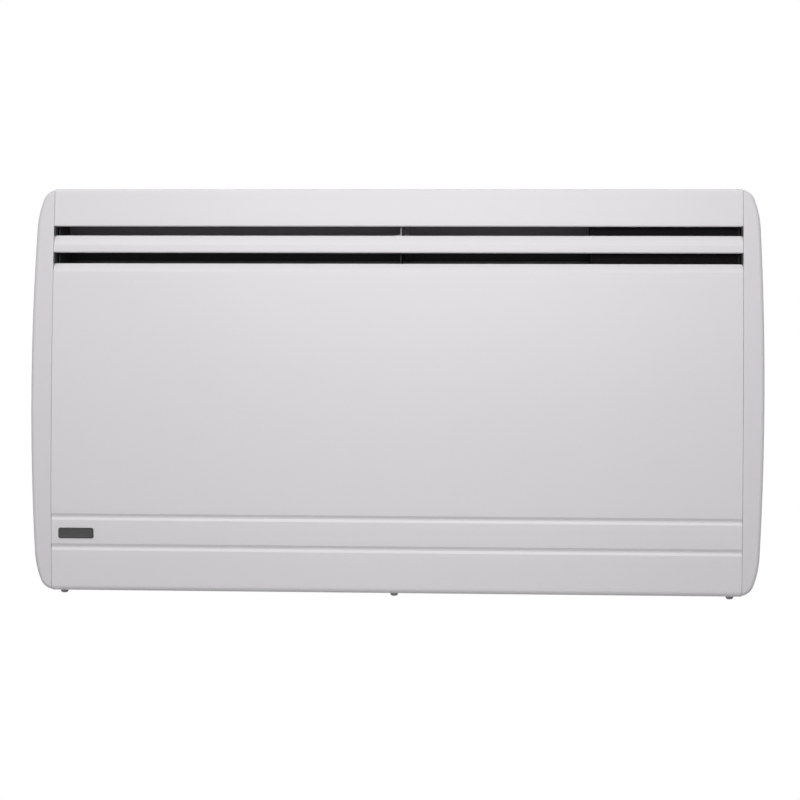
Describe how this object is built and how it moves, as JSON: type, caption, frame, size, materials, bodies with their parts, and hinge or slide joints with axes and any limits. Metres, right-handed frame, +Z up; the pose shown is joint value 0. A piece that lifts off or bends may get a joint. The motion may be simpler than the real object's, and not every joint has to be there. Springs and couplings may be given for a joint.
{
  "type": "wall panel convector heater",
  "caption": "Slim wall-hung panel convector heater with a bowed enamelled front, louvred warm-air slots, end caps and a tilting wall bracket.",
  "frame": {"origin": "centre of the four wall-screw slots of the bracket, on the wall plane, at the heater's mid width and mid height", "axes": "+X to the right seen from the front, +Y into the wall, +Z up"},
  "size_m": [0.796, 0.095, 0.444],
  "materials": {
    "white_enamel": "satin white powder enamel",
    "white_cap": "satin white moulded cap",
    "galvanised": "galvanised sheet",
    "spring_steel": "spring steel",
    "zinc_screw": "zinc plated",
    "dark_screw": "darkened steel",
    "bright_aluminium": "bright rolled",
    "dark_sheet": "dark grey heat-proof paint",
    "cast_aluminium": "as cast",
    "rod_steel": "oxidised sheath",
    "ceramic": "glazed ceramic",
    "mica": "heat-proof bush",
    "black_rubber": "matt",
    "black_plastic": "matt moulded",
    "grey_plastic": "satin moulded",
    "lens": "clear amber",
    "board_green": "solder mask",
    "coil": "laminations and winding",
    "lead_brown": "insulated",
    "lead_blue": "insulated",
    "lead_green": "insulated",
    "lead_grey": "insulated"
  },
  "bodies": {
    "wall_mount": {"wall_bracket": "galvanised", "hinge_pins": "zinc_screw", "catch_springs": "spring_steel", "wall_buffers": "black_rubber"},
    "heater": {"front_panel": "white_enamel", "right_side_cap": "white_cap", "left_side_cap": "white_cap", "rear_casing": "white_enamel", "casing_floor": "white_enamel", "right_end_plate": "dark_sheet", "left_end_plate": "dark_sheet", "inlet_grille": "galvanised", "hinge_ears": "galvanised", "latch_blades": "galvanised", "heat_shield": "bright_aluminium", "outlet_deflector": "dark_sheet", "centre_stay": "dark_sheet", "panel_screws": "dark_screw", "cap_screws": "zinc_screw", "heating_element": "cast_aluminium", "element_rod": "rod_steel", "terminal_insulators": "ceramic", "element_terminals": "zinc_screw", "element_bushes": "mica", "left_element_hanger": "galvanised", "right_element_hanger": "galvanised", "thermal_cutout": "black_plastic", "cutout_rivets": "zinc_screw", "control_partition": "dark_sheet", "partition_grommets": "black_rubber", "control_guard": "black_plastic", "cable_grommet": "black_rubber", "terminal_block": "grey_plastic", "terminal_screws": "zinc_screw", "cable_clamp": "black_plastic", "cable_clamp_screws": "zinc_screw", "earth_stud": "zinc_screw", "control_plate": "grey_plastic", "thermostat_control": "black_plastic", "mode_switch": "black_plastic", "rocker_switch": "black_plastic", "indicator_lens": "lens", "control_housing": "black_plastic", "control_board": "board_green", "transformer": "coil", "power_relay": "black_plastic", "board_capacitors": "black_plastic", "ambient_sensor": "black_plastic", "sensor_clip": "black_plastic", "live_lead": "lead_brown", "neutral_lead": "lead_blue", "earth_lead": "lead_green", "element_live_lead": "lead_brown", "element_neutral_lead": "lead_blue", "sensor_lead": "lead_grey"},
    "thermostat_dial": {"thermostat_knob": "grey_plastic", "knob_spindle": "coil"},
    "mode_selector": {"mode_button": "grey_plastic"},
    "power_rocker": {"rocker_button": "grey_plastic"}
  },
  "joints": [
    {"name": "heater_tilt", "type": "hinge", "parent": "wall_mount", "child": "heater", "pos_m": [0, -0.009, -0.19], "axis": [1, 0, 0], "range_deg": [0, 22]},
    {"name": "dial_turn", "type": "hinge", "parent": "heater", "child": "thermostat_dial", "pos_m": [0.32, -0.045, 0.212], "axis": [0, 0, 1], "range_deg": [-135, 135]},
    {"name": "selector_slide", "type": "slide", "parent": "heater", "child": "mode_selector", "axis": [1, 0, 0], "range_m": [-0.003, 0.003]},
    {"name": "rocker_tilt", "type": "hinge", "parent": "heater", "child": "power_rocker", "pos_m": [0.257, -0.045, 0.2098], "axis": [0, 1, 0], "range_deg": [0, 22]}
  ]
}
